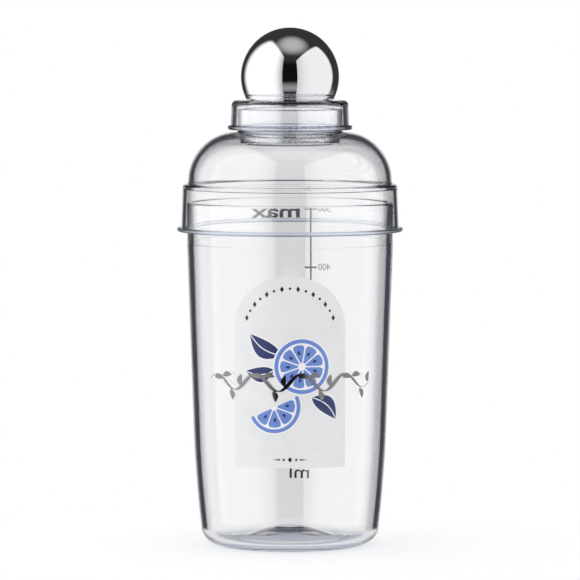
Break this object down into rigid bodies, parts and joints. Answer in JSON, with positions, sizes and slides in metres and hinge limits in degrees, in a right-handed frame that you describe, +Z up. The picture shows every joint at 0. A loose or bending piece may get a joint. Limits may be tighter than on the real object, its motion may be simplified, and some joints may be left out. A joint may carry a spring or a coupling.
{
  "type": "cocktail shaker",
  "caption": "Clear tapered cocktail shaker with a domed slip-on lid, a strainer in its neck and a slip-on cap topped by a chrome ball.",
  "frame": {"origin": "centre of the foot ring, on the surface that the shaker stands on", "axes": "+Z up along the shaker's axis, -Y towards the printed front"},
  "size_m": [0.0888, 0.0888, 0.2035],
  "materials": {
    "clear_plastic": "clear polished moulded plastic with a faint blue tint at its edges",
    "chrome_plate": "mirror chrome plating on a moulded hollow ball"
  },
  "bodies": {
    "cup": {"cup": "clear_plastic"},
    "lid": {"lid": "clear_plastic", "strainer": "clear_plastic"},
    "cap": {"cap": "clear_plastic", "ball_shell": "chrome_plate", "ball_base": "chrome_plate"}
  },
  "joints": [
    {"name": "lid_lift", "type": "slide", "parent": "cup", "child": "lid", "axis": [0, 0, 1], "range_m": [0, 0.06]},
    {"name": "cap_lift", "type": "slide", "parent": "lid", "child": "cap", "axis": [0, 0, 1], "range_m": [0, 0.04]}
  ]
}
